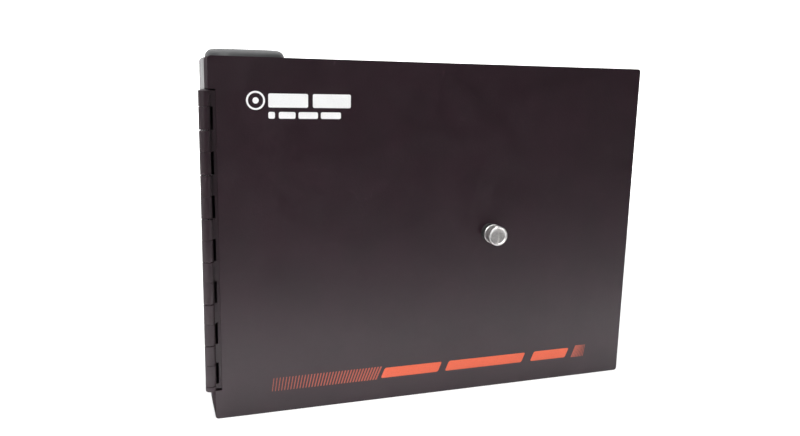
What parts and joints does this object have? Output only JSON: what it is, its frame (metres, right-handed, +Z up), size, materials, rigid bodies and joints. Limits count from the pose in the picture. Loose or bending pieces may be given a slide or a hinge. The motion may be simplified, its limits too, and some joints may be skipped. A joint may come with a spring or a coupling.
{
  "type": "fiber termination box",
  "caption": "Wall-mounted steel fibre termination box with a piano-hinged door, knurled captive screw, top cable grommet, splice tray and adapter panels.",
  "frame": {"origin": "middle of the four wall screw holes, on the back face", "axes": "+X to the right seen from the front, +Y towards the wall, +Z up; the door faces -Y"},
  "size_m": [0.2913, 0.0771, 0.221],
  "materials": {
    "body_paint": "semi-gloss black powder coat",
    "door_paint": "fine-textured satin black powder coat",
    "hinge_paint": "satin black powder coat over steel",
    "inner_paint": "satin black powder coat",
    "bright_nickel": "bright turned finish with a knurled edge",
    "bright_steel": "plain drawn wire",
    "spring_steel": "plain",
    "zinc": "zinc plated",
    "brass": "plain",
    "grommet_rubber": "dark grey moulded rubber",
    "black_nylon": "moulded",
    "tray_plastic": "moulded, fine texture",
    "holder_plastic": "moulded natural nylon",
    "clear_cover": "clear polycarbonate sheet",
    "adapter_plastic": "moulded blue",
    "cap_plastic": "soft moulded caps",
    "card": "printed card with ruled lines"
  },
  "bodies": {
    "cabinet": {"cabinet_body": "body_paint", "cable_grommet": "grommet_rubber", "hinge_body_leaf": "hinge_paint", "hinge_rivets": "hinge_paint", "hinge_pin": "bright_steel", "bulkhead": "inner_paint", "bulkhead_screws": "zinc", "latch_nut": "zinc", "adapter_panel_upper": "inner_paint", "adapter_panel_lower": "inner_paint", "splice_side_caps": "cap_plastic", "patch_side_caps": "cap_plastic", "slack_spool_upper": "black_nylon", "slack_spool_lower": "black_nylon", "tray_stud": "zinc", "tray_standoff": "zinc", "splice_tray": "tray_plastic", "splice_holder": "holder_plastic", "tray_cover": "clear_cover", "wing_nut": "zinc", "clamp_base": "inner_paint", "clamp_saddle": "zinc", "clamp_screws": "zinc", "ground_stud": "brass", "ground_washer": "brass", "ground_nut": "brass", "adapter_1": "adapter_plastic", "adapter_2": "adapter_plastic", "adapter_3": "adapter_plastic", "adapter_4": "adapter_plastic", "adapter_5": "adapter_plastic", "adapter_6": "adapter_plastic", "adapter_7": "adapter_plastic", "adapter_8": "adapter_plastic", "latch_grommet_1": "black_nylon", "latch_grommet_2": "black_nylon", "latch_grommet_3": "black_nylon", "latch_grommet_4": "black_nylon", "cord_ring_1": "holder_plastic", "cord_ring_2": "holder_plastic", "cord_ring_3": "holder_plastic"},
    "door": {"door_panel": "door_paint", "hinge_door_leaf": "hinge_paint", "record_card": "card", "screw_ferrule": "bright_nickel"},
    "screw_slide": {"retaining_ring": "spring_steel", "screw_spring": "spring_steel"},
    "screw": {"knob": "bright_nickel", "captive_screw": "bright_nickel"},
    "latch_1": {"latch_plunger_1": "black_nylon"},
    "latch_2": {"latch_plunger_2": "black_nylon"},
    "latch_3": {"latch_plunger_3": "black_nylon"},
    "latch_4": {"latch_plunger_4": "black_nylon"}
  },
  "joints": [
    {"name": "door_hinge", "type": "hinge", "parent": "cabinet", "child": "door", "pos_m": [-0.14522, -0.06395, 0], "axis": [0, 0, -1], "range_deg": [0, 180]},
    {"name": "screw_travel", "type": "slide", "parent": "door", "child": "screw_slide", "axis": [0, 1, 0], "range_m": [0, 0.0045], "stiffness_N_per_m": 500, "deforming": ["screw_spring"]},
    {"name": "screw_spin", "type": "hinge", "parent": "screw_slide", "child": "screw", "pos_m": [0.03492, -0.0691, 0], "axis": [0, 1, 0], "continuous": true},
    {"name": "latch_1_pull", "type": "slide", "parent": "cabinet", "child": "latch_1", "axis": [1, 0, 0], "range_m": [0, 0.005]},
    {"name": "latch_2_pull", "type": "slide", "parent": "cabinet", "child": "latch_2", "axis": [1, 0, 0], "range_m": [0, 0.005]},
    {"name": "latch_3_pull", "type": "slide", "parent": "cabinet", "child": "latch_3", "axis": [1, 0, 0], "range_m": [0, 0.005]},
    {"name": "latch_4_pull", "type": "slide", "parent": "cabinet", "child": "latch_4", "axis": [1, 0, 0], "range_m": [0, 0.005]}
  ]
}
